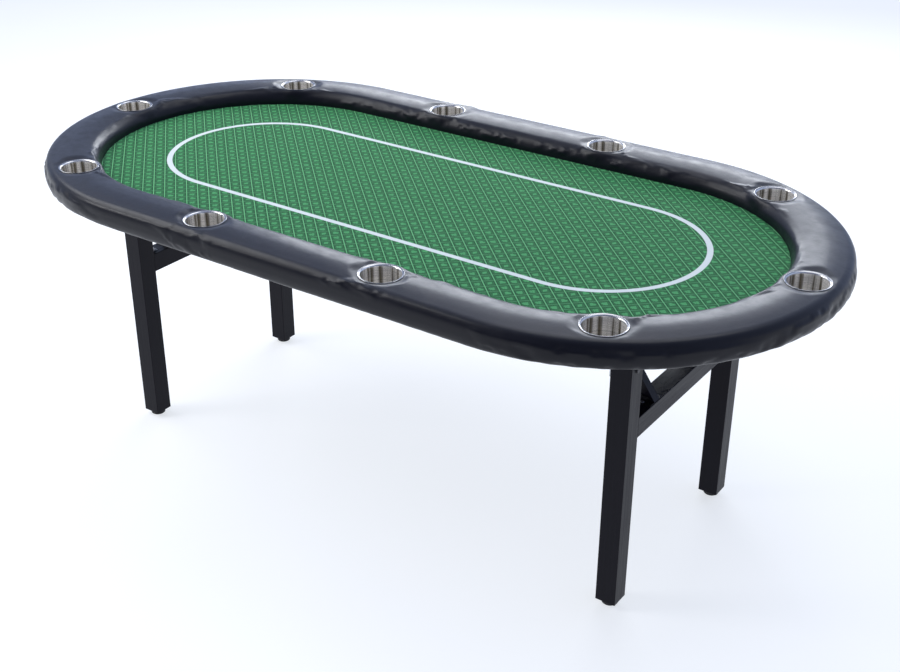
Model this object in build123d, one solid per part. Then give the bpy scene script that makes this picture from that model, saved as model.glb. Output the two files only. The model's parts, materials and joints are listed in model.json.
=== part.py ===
from build123d import *
import os
from math import copysign, cos, pi, radians, sin, tan

# Folding ten-seat poker table. Millimetres, +Z up, +X along the length, origin on the floor under
# the middle of the table. Pieces that repeat are drawn once in the quarter where X and Y are
# positive, and mirrored into the other quarters.

# Racetrack outline: two straight sides joined by half circles. Sizes across it are radii.
STRAIGHT = 508.0        # half the length of the straight sides
SEATS = 10
CUP_RING = 480.0        # radius of the line that the cup holders stand on
END_CUP_SHIFT = 5.0     # the cup holders at the two ends stand this much further out

# Tabletop layers
BOARD_RADIUS = 536.5
PANEL_RADIUS = 433.0    # the board is one middle panel, with an edge band glued round it in 12 lengths
BAND_JOINTS = (126.0, 420.0)    # distances from the middle of a straight side
BOARD_BOTTOM = 716.0
BOARD_TOP = 734.0
FOAM_SHEET = 3.0
CLOTH = 1.5
PLAY_RADIUS = 418.5     # edge of the cloth and the foam under it

# Padded rail
RAIL_FOOT = 419.0       # inner face of the rail at the board
RAIL_SIDE = 556.0       # outer face of the rail
RAIL_CREST = 783.0
INNER_ROLL = ((RAIL_FOOT, 747.4), (428.4, 770.0), (446.0, 779.0))     # radius and height along each curve
CROWN_EDGES = (446.0, 530.0, 779.0)
OUTER_ROLL = ((548.1, 774.0), (RAIL_SIDE, 757.0))
HEM_ROLL = ((RAIL_SIDE, 737.0), (553.1, 725.2), (545.0, BOARD_BOTTOM))
HEM_STEP = 0.5          # the turned-under hem stands clear of the board's edge
VINYL = 1.5
BASE_RADII = (431.0, 544.0)
BASE_TOP = 750.0
APRON_RADII = (538.5, 544.0)
WRAP_UNDER = (450.0, 520.0)   # bare strip under the rail between the two turned-under edges
CORNER_FOAM = 60        # degrees of the turn that one length of padding covers

# Cup holders
CUP_RADIUS = 44.0
CUP_WALL = 1.0
CUP_DEPTH = 75.0
CUP_FLANGE = 50.0
CUP_RIM = 779.0
FLANGE_THICK = 1.1
CUP_HOLE = 45.5
SEAT_GAP = 0.3          # between the flange and the vinyl it stands over
DIMPLE_TOP = 80.0       # radius of the hollow round a cup at its top
DIMPLE_FOOT = CUP_FLANGE + 1
LIP_THROAT = 2.0        # rounding from the flange into the cup
CUP_FLOOR_ROUND = 5.0

# Leg frames
LEG = 50.0              # legs and cross bar are square
LEG_X, LEG_Y = 728.0, 268.0
LEG_BOTTOM = 13.0
BLOCK = (125.0, 120.0, 25.0)
BLOCK_X = 695.5
LEG_GAP = 0.3           # between the leg's top and its mounting block
BAR_TOP = 485.0
ARRIS = 1.5             # rounding along the legs and the bar

# Leg hinge: a flat leaf under the block, and one on the leg's inner face
LEAF = 3.0
KNUCKLE = 4.7
KNUCKLE_INSET = 5.0     # pin axis to the block and to the leg's inner face
HINGE_WIDTH = 44.0
MIDDLE_KNUCKLE = 15.6
KNUCKLE_GAP = 0.2
PIN = 3.0
FIXED_LEAF_LENGTH = 58.0
MOVING_LEAF_LENGTH = 95.0
LEAF_RELIEF = 0.5       # between a leaf and the other leaf's knuckle
LEAF_SCREW_SPREAD = 13.0
FIXED_LEAF_SCREWS = (18.0, 43.0)      # distances from the pin
MOVING_LEAF_SCREWS = (21.0, 46.0)
RUNNING = 0.05          # radial clearance of a shaft that turns or slides

# Braces
BRACE_Y = 160.0
BRACE_THICK, BRACE_WIDE = 22.0, 40.0
BRACE_LEAN = 35.0       # degrees from upright
BRACE_PIVOT_Z = 690.0
BRACE_PIN = 4.0
BRACE_SEAT_GAP = 0.5
RIVET_HEAD = (6.5, 2.0)        # radius, height
CHEEK = 3.0
CHEEK_GAP = 0.5
CHEEK_RADIUS = 12.0
CLEVIS_HALF_LENGTH, CLEVIS_HALF_WIDTH = 18.0, 30.0
CLEVIS_SCREW_REACH = 22.0
CATCH_PLATE = 1.5
CATCH_HALF_LENGTH, CATCH_INSET = 28.0, 2.0
CATCH_SCREW_REACH = 21.0
CATCH_GAP = 0.6
CATCH_EAR = (2.0, 13.0, 12.0)  # thickness, half its length, height

# Levelling feet
FOOT_RADIUS = 19.0
FOOT_TOP = 12.8
FOOT_ROUND, FOOT_CHAMFER = 3.0, 1.5
STUD = 4.95
STUD_BASE, STUD_TOP = 6.0, 58.0
STUD_BORE_GAP = 0.6
STUD_BORE_TOP = 78.0
INSERT_RADIUS = 7.5
INSERT_SPAN = (13.5, 45.0)

# Fasteners
SCREW = 2.0
SCREW_HEAD = (4.0, 1.5, 0.8)         # radius, height, rounding
SCREW_RECESS = (4.6, 0.9, 0.7)       # length, width, depth of the crossed slots
BOARD_SCREW_BITE, LEAF_SCREW_BITE, STRAP_SCREW_BITE = 11.0, 17.0, 22.0    # depths into the wood
CATCH_SCREW_BITE, BRACKET_SCREW_BITE = 18.0, 15.0
BLOCK_SCREW_INSET = 10.0
BOLT = 3.0
BOLT_Z = 613.0
BOLT_HEAD = (7.5, 3.5, 2.5)          # radius, height, rounding
BOLT_TIP = 7.0                       # how far the bolt stands out past the leaf
NUT_ACROSS, NUT_THICK = 11.6, 4.5
DOWEL = 5.0
DOWEL_DEPTH = 25.0
DOWEL_HEIGHTS = (11.0, 29.0)         # above the underside of the bar
HOLE_SPARE = 1.0                     # a blind hole is this much deeper than what goes into it
RAIL_BOLT = 4.0
RAIL_BOLT_HEAD = (7.0, 5.0)          # radius, height
RAIL_BOLT_KEY = (3.5, 6, 2.5)        # key socket: radius, sides, depth
RAIL_BOLT_SHORT = 3.0                # the bolt ends below the tee nut's top
TEE_BARREL_WALL = 1.5
TEE_FLANGE = (10.0, 1.5)             # radius, height

# Corner brackets on the cross bars
BRACKET = (22.0, 26.0, 30.0, 2.0)    # width, length on the bar, height on the leg, thickness
BRACKET_SCREW_BAR, BRACKET_SCREW_LEG = 15.0, 19.0
WEB_SETBACK = (4.0, 3.0)             # the side webs stop short of the bracket's ends

block_bottom = BOARD_BOTTOM - BLOCK[2]
leg_top = block_bottom - LEG_GAP
leg_inner = LEG_X - LEG / 2
leg_outer = LEG_X + LEG / 2
bar_bottom = BAR_TOP - LEG
bar_end = LEG_Y - LEG / 2
hinge_x = leg_inner - KNUCKLE_INSET
hinge_z = block_bottom - KNUCKLE_INSET
brace_end_z = BAR_TOP + CATCH_PLATE + BRACE_SEAT_GAP
brace_x = LEG_X - (BRACE_PIVOT_Z - brace_end_z) * tan(radians(BRACE_LEAN))
cloth_bottom = BOARD_TOP + FOAM_SHEET
seat_z = CUP_RIM - FLANGE_THICK - SEAT_GAP
hinge_y0, hinge_y1 = LEG_Y - HINGE_WIDTH / 2, LEG_Y + HINGE_WIDTH / 2
middle_y0, middle_y1 = LEG_Y - MIDDLE_KNUCKLE / 2, LEG_Y + MIDDLE_KNUCKLE / 2
leaf_rows = (LEG_Y - LEAF_SCREW_SPREAD, LEG_Y + LEAF_SCREW_SPREAD)
fixed_screws_x = [hinge_x - reach for reach in FIXED_LEAF_SCREWS]
moving_screws_z = [hinge_z - reach for reach in MOVING_LEAF_SCREWS]
bracket_bar_y = bar_end - BRACKET_SCREW_BAR
bracket_leg_z = BAR_TOP + BRACKET_SCREW_LEG
dowels_z = [bar_bottom + height for height in DOWEL_HEIGHTS]


# ---------------------------------------------------------------- helpers

def save(name, solids):
    """Write one node. A node of several pieces keeps them as separate solids."""
    shape = Compound(children=list(solids)) if isinstance(solids, list) else solids
    export_step(shape, f"parts/{name}.step")


def place(shape, side_x, side_y):
    """A piece drawn in the positive quarter, mirrored into the quarter with these signs."""
    if side_x < 0:
        shape = mirror(shape, about=Plane.YZ)
    if side_y < 0:
        shape = mirror(shape, about=Plane.XZ)
    return shape


QUARTERS = {"front_right": (1, -1), "back_right": (1, 1), "back_left": (-1, 1), "front_left": (-1, -1)}
SIDES = {"right": 1, "left": -1}


def in_quarters(shapes):
    return [place(s, sx, sy) for sx, sy in QUARTERS.values() for s in shapes]


def on_side(shapes, side_x):
    """Copies of pieces at the back and at the front of one leg frame."""
    return [place(s, side_x, sy) for sy in (1, -1) for s in shapes]


def block(x0, x1, y0, y1, z0, z1):
    return Pos((x0 + x1) / 2, (y0 + y1) / 2, (z0 + z1) / 2) * Box(x1 - x0, y1 - y0, z1 - z0)


def post(x, y, radius, z0, z1):
    """An upright cylinder."""
    return Pos(x, y, (z0 + z1) / 2) * Cylinder(radius, z1 - z0)


def rod_x(y, z, radius, x0, x1):
    return Pos((x0 + x1) / 2, y, z) * Rot(0, 90, 0) * Cylinder(radius, x1 - x0)


def rod_y(x, z, radius, y0, y1):
    return Pos(x, (y0 + y1) / 2, z) * Rot(90, 0, 0) * Cylinder(radius, y1 - y0)


def wood_screw(length):
    """A round-headed cross-slot screw, driven down into a surface at height 0."""
    radius, height, rounding = SCREW_HEAD
    slot_length, slot_width, slot_depth = SCREW_RECESS
    head = fillet(post(0, 0, radius, 0, height).edges().sort_by(Axis.Z)[-1], rounding)
    for x, y in ((slot_length / 2, slot_width / 2), (slot_width / 2, slot_length / 2)):
        head -= block(-x, x, -y, y, height - slot_depth, height)
    return head + post(0, 0, SCREW, -length, 0)


def screw_up(x, y, z, length):
    return Pos(x, y, z) * Rot(180, 0, 0) * wood_screw(length)


def screw_down(x, y, z, length):
    return Pos(x, y, z) * wood_screw(length)


def rail_point(distance):
    """The point this far along the cup line, from the middle of the front, towards +X first."""
    turn = pi * CUP_RING
    if distance > STRAIGHT + turn / 2:
        half = 2 * STRAIGHT + turn
        x, y = rail_point(half - distance) if distance <= half else rail_point(distance - half)
        return (x, -y) if distance <= half else (-x, -y)
    if distance <= STRAIGHT:
        return distance, -CUP_RING
    angle = (distance - STRAIGHT) / CUP_RING
    return STRAIGHT + CUP_RING * sin(angle), -CUP_RING * cos(angle)


spacing = (4 * STRAIGHT + 2 * pi * CUP_RING) / SEATS
cup_places = [rail_point((n + 0.5) * spacing) for n in range(SEATS)]
for n in (SEATS // 4, 3 * SEATS // 4):
    x, y = cup_places[n]
    cup_places[n] = (x + copysign(END_CUP_SHIFT, x), y)
bolt_places = [rail_point(n * spacing) for n in range(SEATS)]


def racetrack(radius, z0, z1):
    """A flat plate with the table's outline."""
    return extrude(Pos(0, 0, z0) * SlotCenterToCenter(2 * STRAIGHT, 2 * radius), amount=z1 - z0)


def straight_run(section, x0, x1):
    """A rail section, drawn with radius as X and height as Z, run along the front side."""
    return extrude(Pos(x0, 0, 0) * Rot(0, 0, -90) * section, amount=x1 - x0, dir=(1, 0, 0))


def end_turn(section, start, sweep):
    """The section carried round the right-hand end, from an angle to +X, in degrees."""
    return Pos(STRAIGHT, 0, 0) * revolve(Rot(0, 0, start) * section, Axis.Z, sweep)


def whole_ring(section):
    front = straight_run(section, -STRAIGHT, STRAIGHT)
    right = end_turn(section, -90, 180)
    return front + right + mirror(front, about=Plane.XZ) + mirror(right, about=Plane.YZ)


def band(radii, heights):
    """A rectangular rail section."""
    (r0, r1), (z0, z1) = radii, heights
    return make_face(Plane.XZ * Polyline((r0, z0), (r1, z0), (r1, z1), (r0, z1), close=True))


# ---------------------------------------------------------------- tabletop

def band_areas():
    """What each length of the edge band covers, seen from above."""
    near, far = BAND_JOINTS
    edge = BOARD_RADIUS + 1
    corner = (STRAIGHT + edge, edge)
    middle = Polyline((-near, 0), (near, 0), (near, edge), (-near, edge), close=True)
    side = Polyline((near, 0), (far, 0), (far, edge), (near, edge), close=True)
    turn = Polyline((far, 0), (STRAIGHT, 0), corner, (far, edge), close=True)
    end = Polyline((STRAIGHT, 0), corner, (STRAIGHT + edge, -edge), close=True)
    thick = BOARD_TOP - BOARD_BOTTOM
    middle, side, turn, end = [extrude(Pos(0, 0, BOARD_BOTTOM) * make_face(area), amount=thick)
                               for area in (middle, side, turn, end)]
    both = [middle, mirror(middle, about=Plane.XZ), end, mirror(end, about=Plane.YZ)]
    return both + in_quarters([side, turn])


def make_tabletop():
    panel = racetrack(PANEL_RADIUS, BOARD_BOTTOM, BOARD_TOP)
    for hole in in_quarters(board_screw_shanks):
        panel -= hole
    ring = racetrack(BOARD_RADIUS, BOARD_BOTTOM, BOARD_TOP) - racetrack(PANEL_RADIUS, BOARD_BOTTOM, BOARD_TOP)
    for x, y in cup_places:
        ring -= post(x, y, CUP_HOLE, BOARD_BOTTOM, BOARD_TOP)
    for x, y in bolt_places:
        ring -= post(x, y, RAIL_BOLT + RUNNING, BOARD_BOTTOM, BOARD_TOP)
    save("tabletop_board", [panel] + [ring & area for area in band_areas()])
    save("surface_foam", racetrack(PLAY_RADIUS, BOARD_TOP, cloth_bottom))
    save("speed_cloth", racetrack(PLAY_RADIUS, cloth_bottom, cloth_bottom + CLOTH))


# ---------------------------------------------------------------- rail

def rail_outline():
    """The padded rail's section: round inner roll, flat crown, round outer roll, drawn-in hem."""
    step = BOARD_RADIUS + HEM_STEP
    crown_in, crown_out, shoulder = CROWN_EDGES
    inner = Line((RAIL_FOOT, BOARD_TOP), INNER_ROLL[0])
    inner_roll = ThreePointArc(*INNER_ROLL)
    crest = ((crown_in + crown_out) / 2, RAIL_CREST)
    crown = ThreePointArc((crown_in, shoulder), crest, (crown_out, shoulder))
    outer_roll = ThreePointArc((crown_out, shoulder), *OUTER_ROLL)
    side = Line(OUTER_ROLL[-1], HEM_ROLL[0])
    hem = ThreePointArc(*HEM_ROLL)
    under = Polyline(HEM_ROLL[-1], (step, BOARD_BOTTOM), (step, BOARD_TOP), (RAIL_FOOT, BOARD_TOP))
    return make_face([inner, inner_roll, crown, outer_roll, side, hem] + under.edges())


def cup_dimple(x, y, skin):
    """The hollow pressed into the padding round a cup, with its through hole."""
    floor = seat_z - skin
    height = RAIL_CREST + 5 - floor
    slope = (DIMPLE_TOP - DIMPLE_FOOT) / (RAIL_CREST - seat_z)
    foot = DIMPLE_FOOT + skin
    cone = Pos(x, y, floor + height / 2) * Cone(foot, foot + slope * height, height)
    return cone + post(x, y, CUP_HOLE, BOARD_BOTTOM, seat_z + 1)


def make_rail():
    outline = Plane.XZ * rail_outline()
    core = Plane.XZ * offset(rail_outline(), amount=-VINYL, kind=Kind.INTERSECTION)
    base_section = band(BASE_RADII, (BOARD_TOP + VINYL, BASE_TOP))
    apron_section = band(APRON_RADII, (BOARD_BOTTOM + VINYL, BOARD_TOP + VINYL))
    foam_section = core - base_section - apron_section

    skin = whole_ring(outline)
    filling = whole_ring(core)
    for x, y in cup_places:
        skin -= cup_dimple(x, y, 0)
        filling -= cup_dimple(x, y, VINYL)
    skin -= filling
    skin -= whole_ring(band(WRAP_UNDER, (BOARD_TOP, BOARD_TOP + VINYL)))
    save("rail_cover", skin)

    side = straight_run(foam_section, 0, STRAIGHT)
    corner = end_turn(foam_section, -90, CORNER_FOAM)
    end = end_turn(foam_section, CORNER_FOAM - 90, 180 - 2 * CORNER_FOAM)
    foam = [place(s, sx, sy) for sx in (1, -1) for sy in (1, -1) for s in (side, corner)]
    foam += [end, mirror(end, about=Plane.YZ)]
    for number, piece in enumerate(foam):
        box = piece.bounding_box()
        for x, y in cup_places:
            if box.min.X < x < box.max.X and box.min.Y < y < box.max.Y:
                piece -= cup_dimple(x, y, VINYL)
        foam[number] = piece
    save("rail_foam", foam)

    base = whole_ring(base_section)
    for x, y in cup_places:
        base -= post(x, y, CUP_HOLE, BOARD_TOP, BASE_TOP)
    bolts, nuts = [], []
    barrel = RAIL_BOLT + TEE_BARREL_WALL
    flange, flange_z = TEE_FLANGE[0], BASE_TOP - TEE_FLANGE[1]
    head_radius, head_height = RAIL_BOLT_HEAD
    for x, y in bolt_places:
        head = post(x, y, head_radius, BOARD_BOTTOM - head_height, BOARD_BOTTOM)
        head -= Pos(x, y, BOARD_BOTTOM - head_height) * extrude(RegularPolygon(*RAIL_BOLT_KEY[:2]),
                                                                amount=RAIL_BOLT_KEY[2])
        bolts.append(head + post(x, y, RAIL_BOLT, BOARD_BOTTOM, BASE_TOP - RAIL_BOLT_SHORT))
        nut = post(x, y, barrel, BOARD_TOP + VINYL, BASE_TOP) + post(x, y, flange, flange_z, BASE_TOP)
        nuts.append(nut - post(x, y, RAIL_BOLT + RUNNING, BOARD_TOP, BASE_TOP))
        base -= post(x, y, barrel + RUNNING, BOARD_TOP, BASE_TOP)
        base -= post(x, y, flange + RUNNING, flange_z, BASE_TOP)
    save("rail_base", base)
    save("rail_bolts", bolts)
    save("rail_tee_nuts", nuts)
    save("apron_strip", whole_ring(apron_section))


# ---------------------------------------------------------------- cup holders

def cup_holder():
    """A drawn metal cup with a rolled flange that stands on the rail."""
    bottom = CUP_RIM - CUP_DEPTH
    inside = CUP_RADIUS - CUP_WALL
    lip_round = FLANGE_THICK / 2
    lip_start = CUP_FLANGE - lip_round
    corner = CUP_FLOOR_ROUND
    outer = Polyline((0, bottom), (CUP_RADIUS - corner, bottom), (CUP_RADIUS, bottom + corner),
                     (CUP_RADIUS, CUP_RIM - FLANGE_THICK), (lip_start, CUP_RIM - FLANGE_THICK))
    lip = ThreePointArc((lip_start, CUP_RIM - FLANGE_THICK), (CUP_FLANGE, CUP_RIM - lip_round),
                        (lip_start, CUP_RIM))
    top = Line((lip_start, CUP_RIM), (inside + LIP_THROAT, CUP_RIM))
    bulge = LIP_THROAT * (1 - cos(radians(45)))
    throat = ThreePointArc((inside + LIP_THROAT, CUP_RIM), (inside + bulge, CUP_RIM - bulge),
                           (inside, CUP_RIM - LIP_THROAT))
    inner = Polyline((inside, CUP_RIM - LIP_THROAT), (inside, bottom + corner + CUP_WALL / 2),
                     (inside - corner + CUP_WALL / 2, bottom + CUP_WALL), (0, bottom + CUP_WALL), (0, bottom))
    section = make_face(outer.edges() + [lip, top, throat] + inner.edges())
    return revolve(Plane.XZ * section, Axis.Z, 360)


def make_cups():
    cup = cup_holder()
    for number, (x, y) in enumerate(cup_places, 1):
        save(f"cup_holder_{number:02d}", Pos(x, y, 0) * cup)


# ---------------------------------------------------------------- leg hinges

def knuckle(y0, y1):
    return rod_y(hinge_x, hinge_z, KNUCKLE, y0, y1)


def fixed_leaf():
    """The leaf under the mounting block, with the two outer knuckles."""
    leaf = block(hinge_x - FIXED_LEAF_LENGTH, hinge_x, hinge_y0, hinge_y1, block_bottom - LEAF, block_bottom)
    leaf += knuckle(hinge_y0, middle_y0 - KNUCKLE_GAP) + knuckle(middle_y1 + KNUCKLE_GAP, hinge_y1)
    leaf -= block(hinge_x - KNUCKLE - LEAF_RELIEF, hinge_x + KNUCKLE, middle_y0 - KNUCKLE_GAP,
                  middle_y1 + KNUCKLE_GAP, block_bottom - LEAF, block_bottom)
    leaf -= rod_y(hinge_x, hinge_z, PIN, hinge_y0, hinge_y1)
    for x in fixed_screws_x:
        for y in leaf_rows:
            leaf -= post(x, y, SCREW + RUNNING, block_bottom - LEAF, block_bottom)
    return leaf


def moving_leaf():
    """The strap on the leg's inner face, with the middle knuckle."""
    shoulder = hinge_z - KNUCKLE - LEAF_RELIEF
    bottom = hinge_z - MOVING_LEAF_LENGTH
    leaf = block(leg_inner - LEAF, leg_inner, hinge_y0, hinge_y1, bottom, shoulder)
    leaf += block(leg_inner - LEAF, leg_inner, middle_y0, middle_y1, shoulder, hinge_z)
    leaf += knuckle(middle_y0, middle_y1)
    leaf -= rod_y(hinge_x, hinge_z, PIN + RUNNING, middle_y0, middle_y1)
    for z in moving_screws_z:
        for y in leaf_rows:
            leaf -= rod_x(y, z, SCREW + RUNNING, leg_inner - LEAF, leg_inner)
    return leaf - rod_x(LEG_Y, BOLT_Z, BOLT + RUNNING, leg_inner - LEAF, leg_inner)


# ---------------------------------------------------------------- underside

block_x0, block_x1 = BLOCK_X - BLOCK[0] / 2, BLOCK_X + BLOCK[0] / 2
block_y0, block_y1 = LEG_Y - BLOCK[1] / 2, LEG_Y + BLOCK[1] / 2
inset = BLOCK_SCREW_INSET
block_screw_places = [(x, y) for x in (block_x0 + inset, block_x1 - inset)
                      for y in (block_y0 + inset, block_y1 - inset)]
clevis_screw_places = [(brace_x, BRACE_Y - CLEVIS_SCREW_REACH), (brace_x, BRACE_Y + CLEVIS_SCREW_REACH)]
board_screw_shanks = [post(x, y, SCREW + RUNNING, BOARD_BOTTOM, BOARD_BOTTOM + BOARD_SCREW_BITE + HOLE_SPARE)
                      for x, y in block_screw_places + clevis_screw_places]


def mounting_block():
    body = block(block_x0, block_x1, block_y0, block_y1, block_bottom, BOARD_BOTTOM)
    for x, y in block_screw_places:
        body -= post(x, y, SCREW + RUNNING, block_bottom, BOARD_BOTTOM)
    for x in fixed_screws_x:
        for y in leaf_rows:
            body -= post(x, y, SCREW + RUNNING, block_bottom, block_bottom + LEAF_SCREW_BITE + HOLE_SPARE)
    return body


def clevis():
    """The folded steel bracket that a brace hangs from."""
    plate_z = BOARD_BOTTOM - CHEEK
    body = block(brace_x - CLEVIS_HALF_LENGTH, brace_x + CLEVIS_HALF_LENGTH, BRACE_Y - CLEVIS_HALF_WIDTH,
                 BRACE_Y + CLEVIS_HALF_WIDTH, plate_z, BOARD_BOTTOM)
    inner = BRACE_THICK / 2 + CHEEK_GAP
    for y0 in (BRACE_Y - inner - CHEEK, BRACE_Y + inner):
        body += block(brace_x - CHEEK_RADIUS, brace_x + CHEEK_RADIUS, y0, y0 + CHEEK, BRACE_PIVOT_Z, plate_z)
        body += rod_y(brace_x, BRACE_PIVOT_Z, CHEEK_RADIUS, y0, y0 + CHEEK)
    body -= rod_y(brace_x, BRACE_PIVOT_Z, BRACE_PIN, BRACE_Y - CLEVIS_HALF_WIDTH, BRACE_Y + CLEVIS_HALF_WIDTH)
    for x, y in clevis_screw_places:
        body -= post(x, y, SCREW + RUNNING, plate_z, BOARD_BOTTOM)
    return body


def brace_rivet():
    """The pin through a clevis and its brace, with a formed head at each end."""
    half = BRACE_THICK / 2 + CHEEK_GAP + CHEEK
    radius, height = RIVET_HEAD
    pin = rod_y(brace_x, BRACE_PIVOT_Z, BRACE_PIN, BRACE_Y - half, BRACE_Y + half)
    for y0 in (BRACE_Y - half - height, BRACE_Y + half):
        pin += rod_y(brace_x, BRACE_PIVOT_Z, radius, y0, y0 + height)
    return pin


def make_underside():
    save("leg_mount_blocks", in_quarters([mounting_block()]))
    save("leg_hinge_fixed_leaves", in_quarters([fixed_leaf()]))
    save("leg_hinge_pins", in_quarters([rod_y(hinge_x, hinge_z, PIN, hinge_y0 - 1, hinge_y1 + 1)]))
    save("brace_clevises", in_quarters([clevis()]))
    save("brace_rivets", in_quarters([brace_rivet()]))
    screws = [screw_up(x, y, block_bottom, BLOCK[2] + BOARD_SCREW_BITE) for x, y in block_screw_places]
    screws += [screw_up(x, y, BOARD_BOTTOM - CHEEK, CHEEK + BOARD_SCREW_BITE) for x, y in clevis_screw_places]
    screws += [screw_up(x, y, block_bottom - LEAF, LEAF + LEAF_SCREW_BITE)
               for x in fixed_screws_x for y in leaf_rows]
    save("underside_screws", in_quarters(screws))


# ---------------------------------------------------------------- leg frames

def frame_screws():
    """The wood screws at one corner of a leg frame."""
    thick = BRACKET[3]
    screws = [screw_down(LEG_X, BRACE_Y + s * CATCH_SCREW_REACH, BAR_TOP + CATCH_PLATE,
                         CATCH_PLATE + CATCH_SCREW_BITE) for s in (-1, 1)]
    screws.append(screw_down(LEG_X, bracket_bar_y, BAR_TOP + thick, thick + BRACKET_SCREW_BITE))
    sideways = Rot(90, 0, 0) * wood_screw(thick + BRACKET_SCREW_BITE)
    screws.append(Pos(LEG_X, bar_end - thick, bracket_leg_z) * sideways)
    strap_screw = Rot(0, -90, 0) * wood_screw(LEAF + STRAP_SCREW_BITE)
    return screws + [Pos(leg_inner - LEAF, y, z) * strap_screw for y in leaf_rows for z in moving_screws_z]


def leg():
    """A square leg, bored for its foot, dowels, screws and bolt."""
    y0, y1 = LEG_Y - LEG / 2, LEG_Y + LEG / 2
    body = block(leg_inner, leg_outer, y0, y1, LEG_BOTTOM, leg_top)
    body = fillet(body.edges().filter_by(Axis.Z), ARRIS)
    body -= post(LEG_X, LEG_Y, INSERT_RADIUS + RUNNING, LEG_BOTTOM, INSERT_SPAN[1])
    body -= post(LEG_X, LEG_Y, STUD + STUD_BORE_GAP, INSERT_SPAN[1], STUD_BORE_TOP)
    for z in dowels_z:
        body -= rod_y(LEG_X, z, DOWEL + RUNNING, y0, y0 + DOWEL_DEPTH + HOLE_SPARE)
    body -= rod_y(LEG_X, bracket_leg_z, SCREW + RUNNING, y0, y0 + BRACKET_SCREW_BITE + HOLE_SPARE)
    for y in leaf_rows:
        for z in moving_screws_z:
            body -= rod_x(y, z, SCREW + RUNNING, leg_inner, leg_inner + STRAP_SCREW_BITE + HOLE_SPARE)
    return body - rod_x(LEG_Y, BOLT_Z, BOLT + RUNNING, leg_inner, leg_outer)


def cross_bar():
    body = block(leg_inner, leg_outer, -bar_end, bar_end, bar_bottom, BAR_TOP)
    body = fillet(body.edges().filter_by(Axis.Y), ARRIS)
    for side in (-1, 1):
        ends = sorted((side * bar_end, side * (bar_end - DOWEL_DEPTH - HOLE_SPARE)))
        for z in dowels_z:
            body -= rod_y(LEG_X, z, DOWEL + RUNNING, *ends)
        for y in (bracket_bar_y, BRACE_Y - CATCH_SCREW_REACH, BRACE_Y + CATCH_SCREW_REACH):
            body -= post(LEG_X, side * y, SCREW + RUNNING, BAR_TOP - CATCH_SCREW_BITE - HOLE_SPARE, BAR_TOP)
    return body


def corner_bracket():
    """A pressed corner plate with a web along each side, on the bar against the leg."""
    width, length, height, thick = BRACKET
    x0, x1 = LEG_X - width / 2, LEG_X + width / 2
    body = block(x0, x1, bar_end - length, bar_end, BAR_TOP, BAR_TOP + thick)
    body += block(x0, x1, bar_end - thick, bar_end, BAR_TOP, BAR_TOP + height)
    web_end, web_top = bar_end - length + WEB_SETBACK[0], BAR_TOP + height - WEB_SETBACK[1]
    web = make_face(Plane.YZ * Polyline((bar_end, BAR_TOP), (web_end, BAR_TOP),
                                        (bar_end - thick, web_top), (bar_end, web_top), close=True))
    for x in (x0, x1 - thick):
        body += extrude(Pos(x, 0, 0) * web, amount=thick, dir=(1, 0, 0))
    body -= post(LEG_X, bracket_bar_y, SCREW + RUNNING, BAR_TOP, BAR_TOP + thick)
    return body - rod_y(LEG_X, bracket_leg_z, SCREW + RUNNING, bar_end - thick, bar_end)


def brace_catch():
    """The plate with two ears that a brace stands in."""
    inner = BRACE_THICK / 2 + CATCH_GAP
    thick, half, height = CATCH_EAR
    body = block(leg_inner + CATCH_INSET, leg_outer - CATCH_INSET, BRACE_Y - CATCH_HALF_LENGTH,
                 BRACE_Y + CATCH_HALF_LENGTH, BAR_TOP, BAR_TOP + CATCH_PLATE)
    for y0 in (BRACE_Y - inner - thick, BRACE_Y + inner):
        ear = block(LEG_X - half, LEG_X + half, y0, y0 + thick, BAR_TOP, BAR_TOP + height)
        body += fillet(ear.edges().filter_by(Axis.Y).sort_by(Axis.Z)[2:], height / 3)
    for s in (-1, 1):
        body -= post(LEG_X, BRACE_Y + s * CATCH_SCREW_REACH, SCREW + RUNNING, BAR_TOP, BAR_TOP + CATCH_PLATE)
    return body


def carriage_bolt():
    """A bolt through the leg, its low domed head on the outer face."""
    radius, height, rounding = BOLT_HEAD
    head = rod_x(LEG_Y, BOLT_Z, radius, leg_outer, leg_outer + height)
    head = fillet(head.edges().sort_by(Axis.X)[-1], rounding)
    return head + rod_x(LEG_Y, BOLT_Z, BOLT, leg_inner - LEAF - BOLT_TIP, leg_outer)


def hex_nut():
    x0 = leg_inner - LEAF - NUT_THICK
    nut = extrude(Plane.YZ * RegularPolygon(NUT_ACROSS / 2, 6), amount=NUT_THICK, dir=(1, 0, 0))
    return Pos(x0, LEG_Y, BOLT_Z) * nut - rod_x(LEG_Y, BOLT_Z, BOLT + RUNNING, x0, x0 + NUT_THICK)


def foot_insert():
    """The threaded sleeve in the bottom of a leg."""
    return post(LEG_X, LEG_Y, INSERT_RADIUS, *INSERT_SPAN) - post(LEG_X, LEG_Y, STUD + RUNNING, *INSERT_SPAN)


def make_leg_frames():
    dowels = [rod_y(LEG_X, z, DOWEL, bar_end - DOWEL_DEPTH, bar_end + DOWEL_DEPTH) for z in dowels_z]
    for name, (side_x, side_y) in QUARTERS.items():
        save(f"leg_{name}", place(leg(), side_x, side_y))
    for name, side_x in SIDES.items():
        save(f"cross_bar_{name}", place(cross_bar(), side_x, 1))
        save(f"bar_dowels_{name}", on_side(dowels, side_x))
        save(f"corner_brackets_{name}", on_side([corner_bracket()], side_x))
        save(f"brace_catches_{name}", on_side([brace_catch()], side_x))
        save(f"leg_hinge_straps_{name}", on_side([moving_leaf()], side_x))
        save(f"carriage_bolts_{name}", on_side([carriage_bolt()], side_x))
        save(f"bolt_nuts_{name}", on_side([hex_nut()], side_x))
        save(f"frame_screws_{name}", on_side(frame_screws(), side_x))
        save(f"foot_inserts_{name}", on_side([foot_insert()], side_x))


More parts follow.
